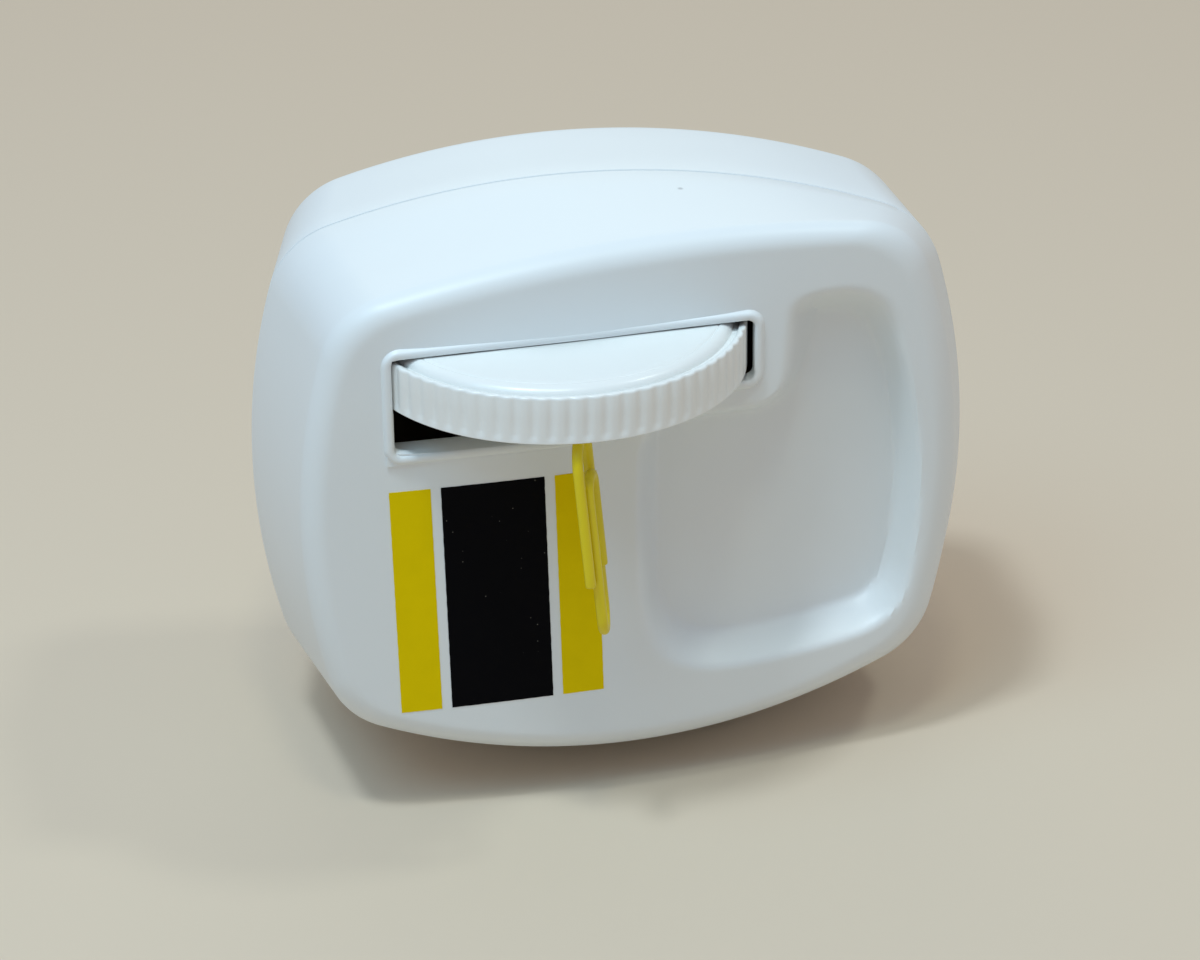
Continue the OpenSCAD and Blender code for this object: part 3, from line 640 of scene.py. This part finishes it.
def front_shell():
    fine, coarse = 80, 30
    edge = SEAM_Y - SEAM_GAP / 2
    rings = [face_ring(0, k / fine) for k in range(1, fine + 1)]
    rings += [front_ring(0, math.radians(a)) for a in np.linspace(7.5, 90, 12)]
    brim = between(flat_ring(edge, 0), rings[-1], 0.015)
    rings += [between(rings[-1], brim, s) for s in (0.2, 0.4, 0.6, 0.8, 1)]
    rings += [flat_ring(edge - EDGE_BACK, EDGE_OUT), flat_ring(edge, EDGE_IN), flat_ring(edge, WALL)]
    inside = len(rings) - 1
    wall = front_ring(WALL, math.radians(90))
    rings += [between(rings[-1], wall, 0.5), wall]
    rings += [front_ring(WALL, math.radians(a)) for a in (70, 50, 30, 15)]
    rings += [face_ring(WALL, k / coarse) for k in range(coarse, 0, -1)]
    obj = build("front_shell_skin", *skin(rings, face_centre(0), face_centre(WALL)), "body", WHITE)
    # The front shell's inner bands get the painted shade.
    paint_inside_shade(obj, inside, len(rings) - 1, 1)
    outline, _ = slot_outline()
    cutters = [build("slot_cutter", *prism(outline, -40, -10), None, None), wheel_hollow(HOLLOW_R)]
    for x in FOOT_X:
        pad_hole = post((x, SEAM_Y - FOOT_AHEAD), PAD_HOLE_R, -1, PAD_LOW)
        cutters.append(build("foot_cutter", *pad_hole, None, None))
    cut_away(obj, cutters)
    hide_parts("front_shell")


def slot_frame():
    """The raised frame: a rounded ridge swept round the slot on the curved face."""
    path, normals = slot_outline()
    profile = [(-0.04, -2.05), (-0.04, 0.30), (0.03, 0.46), (0.18, 0.6), (0.42, FRAME_H), (0.82, FRAME_H),
               (1.06, 0.6), (1.24, 0.4), (1.36, 0.16), (1.52, 0.02), (1.6, -0.15), (0.3, -2.05)]
    rings = []
    for out, high in profile:
        p = path + normals * out
        rings.append(np.stack([p[:, 0], face_y(p[:, 0]) - high, p[:, 1]], axis=1))
    faces = band_faces(len(rings), len(path), wrap=True)
    obj = build("slot_frame", np.concatenate(rings), faces, "body", WHITE, 50)
    cut_away(obj, [wheel_hollow(HOLLOW_R - HOLLOW_LAP)], 50)


def sill():
    """The ledge under the clip exit: it follows the face, and its front left corner is softly filled."""
    left, right = SLOT_LEFT + SILL_PLAY, EXIT_RIGHT - SILL_PLAY
    across = np.concatenate([left + np.linspace(0, SILL_FILL_W, 15), np.linspace(left + 6, right, 8)])
    under = [(x, -SILL_H) for x in (right, left + 16, left + 8, left - 1.2)] + [(left - 1.2, 0)]
    rows = [(-0.3, 0.06), (-0.1, 0), (0.2, 0), (0.7, 0), (1.2, 0), (1.8, 0), (2.5, 0), (3.5, 0),
            (SILL_DEPTH - 0.4, 0), (SILL_DEPTH - 0.1, 0.1), (SILL_DEPTH, 0.35)]
    rings = []
    for depth, drop in rows:
        near = max(1 - abs(depth - 0.5) / 2.2, 0)
        fill = SILL_FILL_H * near ** 2 * np.maximum(1 - (across - left) / SILL_FILL_W, 0) ** 1.5
        loop = np.concatenate([np.stack([across, SILL_PROUD + fill - drop], axis=1), under])
        rings.append(np.stack([loop[:, 0], face_y(loop[:, 0]) + depth, SLOT_LOW + loop[:, 1]], axis=1))
    obj = build("sill", *skin(rings, rings[0].mean(axis=0), rings[-1].mean(axis=0)), "body", WHITE, 40)


# Rear cover
def rear_ring(t, turn):
    """A ring a depth t under the rear cover: on its wall at a turn of 90 degrees, on its back at 0."""
    r = REAR_FILLET - t
    y = BACK_Y - t - r * (1 - math.cos(turn))
    return flat_ring(y, t + r * (1 - math.sin(turn)) + REAR_SLOPE * (y - SEAM_Y))


def shrink(ring, share):
    return ring * (share, 1, share) + (0, 0, MID_Z * (1 - share))


def rear_cover():
    tip = WALL + TONGUE_GAP + TONGUE_LEN * FACE_LEFT / FRONT_DEPTH
    edge = SEAM_Y + SEAM_GAP / 2
    end = SEAM_Y - TONGUE_LEN
    rings = [shrink(rear_ring(WALL, 0), s) for s in (0.25, 0.5, 0.75)]
    rings += [rear_ring(WALL, math.radians(a)) for a in (0, 15, 30, 50, 70, 90)]
    inside = len(rings)
    rings += [flat_ring(edge + TONGUE_LEN, WALL + REAR_SLOPE * TONGUE_LEN),
              flat_ring(edge, tip + TONGUE_WALL), flat_ring(end, tip + TONGUE_WALL), flat_ring(end, tip),
              flat_ring(edge, WALL + TONGUE_GAP), flat_ring(edge, EDGE_IN),
              flat_ring(edge + EDGE_BACK, EDGE_OUT)]
    start, wall = flat_ring(edge + 0.4, REAR_SLOPE * 0.4), rear_ring(0, math.radians(90))
    rings += [between(start, wall, s) for s in (0, 0.25, 0.5, 0.75)]
    rings += [rear_ring(0, math.radians(a)) for a in np.linspace(90, 0, 16)]
    rings += [shrink(rear_ring(0, 0), s) for s in (0.9, 0.75, 0.5, 0.25)]
    verts, faces = skin(rings, (0, BACK_Y - WALL, MID_Z), (0, BACK_Y, MID_Z))
    obj = build("rear_cover_skin", verts, faces, "rear_cover", WHITE)
    # The rear cover's inner bands get the painted shade.
    paint_inside_shade(obj, 0, inside, 0)
    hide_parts("rear_cover")


# Foot pads
def keel(x, y):
    """Height of the arched bottom over a place in plan."""
    at_seam = BOTTOM_RADIUS - HALF_H - math.sqrt(BOTTOM_RADIUS ** 2 - x * x)
    if y > SEAM_Y:
        return MID_Z + at_seam * (1 - REAR_SLOPE * (y - SEAM_Y) / HALF_H)
    bulge = FACE_LOW_RADIUS - math.sqrt(FACE_LOW_RADIUS ** 2 - (x - FACE_SHIFT) ** 2)
    at_face = FACE_LIFT - FACE_HALF_H + bulge
    share = (SEAM_Y - y) / (SEAM_Y - float(face_y(x)))
    return MID_Z + between(at_seam, at_face, share)


def foot_pads(name, y, body):
    """Moulded pads that carry the feet, with a soft edge, running into the arched bottom."""
    sunk = 1.4
    verts, faces = [], []
    for x in FOOT_X:
        rings = []
        for r, rise in ((2.0, 0), (PAD_R - 0.4, 0), (PAD_R - 0.1, 0.1), (PAD_R, 0.4)):
            rings.append(circle((x, y), r, PAD_LOW + rise, 48))
        high = rings[-1].copy()
        high[:, 2] = [max(keel(px, py) + sunk, PAD_LOW + 0.45) for px, py, _ in high]
        pad, pad_faces = skin(rings + [high], (x, y, PAD_LOW), (x, y, keel(x, y) + sunk))
        faces += [tuple(i + len(verts) for i in face) for face in pad_faces]
        verts += pad.tolist()
    obj = build(name, verts, faces, body, WHITE, 40)


# Wheel
def rib_wave(a):
    """Rounded ribs with soft grooves between them: 0 on a rib's back, minus its height in a groove."""
    return -RIB_DEPTH * (0.5 + 0.5 * np.cos(a * RIB_COUNT)) ** 1.6


def wheel_rim():
    """The rim: hub, floor, ledge for the cap, and ribs that fade into the lips above and below them."""
    r = WHEEL_R - 0.06
    top = WHEEL_BAND
    ledge = CAP_TOP - CAP_H - WHEEL_Z
    hub = CAP_TOP + 0.1 - WHEEL_Z
    underside = [(AXLE_R, 0), (HUB_R, 0), (15, 0), (24, 0),
                 (r - 0.54, 0), (r - 0.19, 0.05), (r, 0.18), (r, 0.36)]
    ribs = [(r, 0.6, 0.2), (r, 0.9, 0.5), (r, 1.2, 0.8), (r, 1.5, 1), (r, 4, 1),
            (r, top - 0.45, 1), (r - 0.05, top - 0.2, 1), (r - 0.18, top - 0.05, 1),
            (r - 0.36, top, 0.9), (r - 0.62, top - 0.02, 0.3)]
    well = [(r - 0.96, top - 0.08), (r - 1.08, top - 0.2), (r - 1.1, ledge), (r - 3.34, ledge),
            (r - 3.44, WHEEL_FLOOR + 0.1), (r - 3.54, WHEEL_FLOOR), (HUB_R + 0.2, WHEEL_FLOOR)]
    bore = [(HUB_R, WHEEL_FLOOR + 0.2), (HUB_R, hub - 0.2), (HUB_R - 0.2, hub), (AXLE_R, hub)]
    verts, faces = lathe(underside + ribs + well + bore, RIB_COUNT * RIB_STEPS, rib_wave)
    obj = build("wheel_rim_skin", verts + (WHEEL_X, WHEEL_Y, WHEEL_Z), faces, "wheel", CREAM, 50)
    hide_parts("wheel_rim")


def wheel_cap():
    """The cap: a fine line round its flat top, and a shoulder that drops to a groove behind the rim's lip."""
    flat = CAP_R - CAP_SHOULDER
    run = CAP_SHOULDER - CAP_GROOVE
    inner = HUB_R + 0.1
    steepest = math.acos(1 - (CAP_H - CAP_FLOOR) / CAP_DROP)
    edge = [(inner, 0), (CAP_R, 0), (CAP_R, CAP_FLOOR - 0.05), (CAP_R - 0.05, CAP_FLOOR)]
    shoulder = [(flat + run * math.sin(t), CAP_H - CAP_DROP * (1 - math.cos(t)))
                for t in np.linspace(steepest, 0, 16)]
    line = [(flat - 0.08, CAP_H - 0.06), (flat - 0.16, CAP_H - 0.11), (flat - 0.24, CAP_H - 0.06),
            (flat - 0.32, CAP_H)]
    top = [(flat - 1, CAP_H), (16, CAP_H), (inner + 0.2, CAP_H), (inner, CAP_H - 0.2)]
    verts, faces = lathe(edge + shoulder + line + top, 360)
    obj = build("wheel_cap_skin", verts + (WHEEL_X, WHEEL_Y, CAP_TOP - CAP_H), faces, "wheel", CREAM, 50)
    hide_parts("wheel_cap")


# Prints on the face
def slab_faces(n, m):
    """Faces of a thin slab whose front and back are grids of n by m points."""
    back = n * m
    faces = []
    for j in range(m - 1):
        for i in range(n - 1):
            a = j * n + i
            faces.append((a, a + 1, a + n + 1, a + n))
            faces.append((back + a, back + a + n, back + a + n + 1, back + a + 1))
    edge = list(range(n)) + [j * n + n - 1 for j in range(1, m)]
    edge += [(m - 1) * n + i for i in range(n - 2, -1, -1)] + [j * n for j in range(m - 2, 0, -1)]
    for a, b in zip(edge, edge[1:] + edge[:1]):
        faces.append((b, a, back + a, back + b))
    return faces


def print_patch(name, left, width, material, node):
    """A thin print on the curved face, leaning a little, with slightly ragged edges."""
    columns, rows = 24, 60
    low = GROUND_GAP + PRINT_LOW
    mid = low + PRINT_H / 2
    x, z = np.meshgrid(np.linspace(left, left + width, columns), np.linspace(low, low + PRINT_H, rows))
    x, z = x.ravel(), z.ravel()
    from_side = (x - left - width / 2) / (width / 2)
    from_mid = (z - mid) / (PRINT_H / 2)
    ragged = 0.012 * np.sin(3.1 * z + left) + 0.012 * np.sin(7.7 * z)
    x = x + PRINT_LEAN * (z - mid) + ragged * from_side ** 9
    z = z + 0.015 * np.sin(2.3 * x + 5.9 * np.sin(x)) * from_mid ** 9
    sides = [np.stack([x, face_y(x) - proud, z], axis=1) for proud in (0.06, 0.005)]
    obj = build(name, np.concatenate(sides), slab_faces(columns, rows), "body", material, 40)
    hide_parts(node)


# Paper clip
def bend(start, end, up, steps=28):
    """Half a circle from one point to another, over or under them."""
    start, end = np.array(start, float), np.array(end, float)
    mid, across = (start + end) / 2, (start - end) / 2
    a = np.linspace(0, math.pi, steps + 1)[:, None]
    return mid + np.cos(a) * across + np.array([0, 0, up * np.linalg.norm(across)]) * np.sin(a)


def paper_clip():
    """The clip: its wire runs from the outer end over three bends to the inner end, and hangs from Z = 0."""
    spring, near, far = CLIP_SPRING, CLIP_INNER_X, CLIP_INNER_X + CLIP_INNER_W
    top = -(CLIP_WIRE + CLIP_W) / 2
    low = -CLIP_LEN + (CLIP_WIRE + math.hypot(CLIP_W - near, spring)) / 2
    mid = -CLIP_INNER_TOP - (CLIP_WIRE + CLIP_INNER_W) / 2
    path = np.concatenate([
        np.linspace((0, 0, -CLIP_OUTER_END), (0, 0, top - 1), 8),
        bend((0, 0, top), (0, CLIP_W, top), 1),
        np.linspace((0, CLIP_W, top - 1), (0, CLIP_W, low + 1), 8),
        bend((0, CLIP_W, low), (spring, near, low), -1),
        np.linspace((spring, near, low + 1), (spring, near, mid - 1), 8),
        bend((spring, near, mid), (spring, far, mid), 1),
        np.linspace((spring, far, mid - 1), (spring, far, -CLIP_INNER_END), 8),
    ])
    verts, faces = tube(path, CLIP_WIRE / 2, 20)
    turn = Matrix.Rotation(CLIP_TURN, 3, "Z") @ Matrix.Rotation(CLIP_LEAN, 3, "Y")
    reach = WHEEL_R - CLIP_INSET
    hook_x, hook_y = WHEEL_X + reach * math.sin(CLIP_ROUND), WHEEL_Y - reach * math.cos(CLIP_ROUND)
    verts = verts @ np.array(turn).T + (hook_x, hook_y, WHEEL_Z - CLIP_DROP)
    obj = build("paper_clip_wire", verts, faces, "paper_clip", VINYL, 60)
    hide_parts("paper_clip")


front_shell()
slot_frame()
sill()
rear_cover()
wheel_rim()
wheel_cap()
print_patch("stripe_left_ink", -34.3, 6.1, YELLOW, "stripe_left")
print_patch("black_panel_ink", -26.7, 15.3, BLACK, "black_panel")
print_patch("stripe_right_ink", -9.9, 6.2, YELLOW, "stripe_right")
paper_clip()
foot_pads("front_foot_pads", SEAM_Y - FOOT_AHEAD, "body")
foot_pads("rear_foot_pads", SEAM_Y + FOOT_BEHIND, "rear_cover")

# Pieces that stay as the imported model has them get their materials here
carried = {"axle_pin": STEEL, "push_nut": STEEL, "bridge_screws": STEEL,
           "thrust_washer": ACETAL, "wheel_bridge": BRIDGE}
for foot in ("front_left", "front_right", "rear_left", "rear_right"):
    carried["foot_" + foot] = RUBBER
for number in range(1, 7):
    carried["magnet_%d" % number] = MAGNET
for node_name, material in carried.items():
    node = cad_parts[node_name]
    node.data.materials.clear()
    node.data.materials.append(material)


# Stage, in metres
def floor(half, color):
    mesh = bpy.data.meshes.new("floor")
    corners = [(-half, -half, 0), (half, -half, 0), (half, half, 0), (-half, half, 0)]
    mesh.from_pydata(corners, [], [(0, 1, 2, 3)])
    obj = bpy.data.objects.new("floor", mesh)
    bpy.context.scene.collection.objects.link(obj)
    mat = bpy.data.materials.new("floor")
    mat.use_nodes = True
    shader = mat.node_tree.nodes["Principled BSDF"]
    shader.inputs["Base Color"].default_value = (*color, 1)
    shader.inputs["Roughness"].default_value = 0.9
    shader.inputs["Specular IOR Level"].default_value = 0.2
    mesh.materials.append(mat)


def area_light(name, place, size, watts, color):
    """A square light that shines at the middle of the object."""
    data = bpy.data.lights.new(name, "AREA")
    data.shape = "SQUARE"
    data.size = size
    data.energy = watts
    data.color = color
    obj = bpy.data.objects.new(name, data)
    bpy.context.scene.collection.objects.link(obj)
    obj.location = place
    obj.rotation_euler = (Vector((0, 0, 0.04)) - Vector(place)).to_track_quat("-Z", "Y").to_euler()


def sky(color, strength):
    world = bpy.data.worlds.new("studio")
    bpy.context.scene.world = world
    world.use_nodes = True
    background = world.node_tree.nodes["Background"]
    background.inputs["Color"].default_value = (*color, 1)
    background.inputs["Strength"].default_value = strength


WIDE, SMALL = 0.6, 0.12
floor(3.0, (0.67, 0.563, 0.441))
area_light("key", (-0.24, -0.24, 1.046), SMALL, 3.55, (0.786, 0.91, 1.0))
area_light("left", (-0.389, -0.389, 0.953), WIDE, 3.66, (0.358, 0.735, 1.0))
area_light("right", (0.516, 0, 0.971), SMALL, 1.28, (0.88, 1.0, 0.953))
area_light("front", (0, -0.34, 1.046), SMALL, 0.95, (0.958, 1.0, 0.81))
area_light("back", (0, 0.953, 0.55), WIDE, 0.92, (1.0, 0.967, 0.696))
sky((0.94, 0.915, 1.0), 0.388)


# Camera
def view_camera(place, turn, down, roll, lens):
    """A camera at a place, turned to the right, tilted down and rolled by angles in degrees."""
    turn, down, roll = math.radians(turn), math.radians(down), math.radians(roll)
    look = Vector((math.sin(turn) * math.cos(down), math.cos(turn) * math.cos(down), -math.sin(down)))
    level = Vector((math.cos(turn), -math.sin(turn), 0))
    upright = level.cross(look)
    right = math.cos(roll) * level + math.sin(roll) * upright
    above = -math.sin(roll) * level + math.cos(roll) * upright
    data = bpy.data.cameras.new("camera")
    data.sensor_width = 36
    data.lens = lens
    data.clip_start = 0.01
    camera = bpy.data.objects.new("camera", data)
    bpy.context.scene.collection.objects.link(camera)
    camera.matrix_world = Matrix.Translation(place) @ Matrix((right, above, -look)).transposed().to_4x4()
    bpy.context.scene.camera = camera


# The camera's place and angles come from the outline, the wheel and the slot in the photograph
view_camera(Vector((-0.04823, -0.57083, 0.32638)), 4.639, 26.322, -0.6906, 126)
bpy.context.scene.view_settings.view_transform = "Standard"
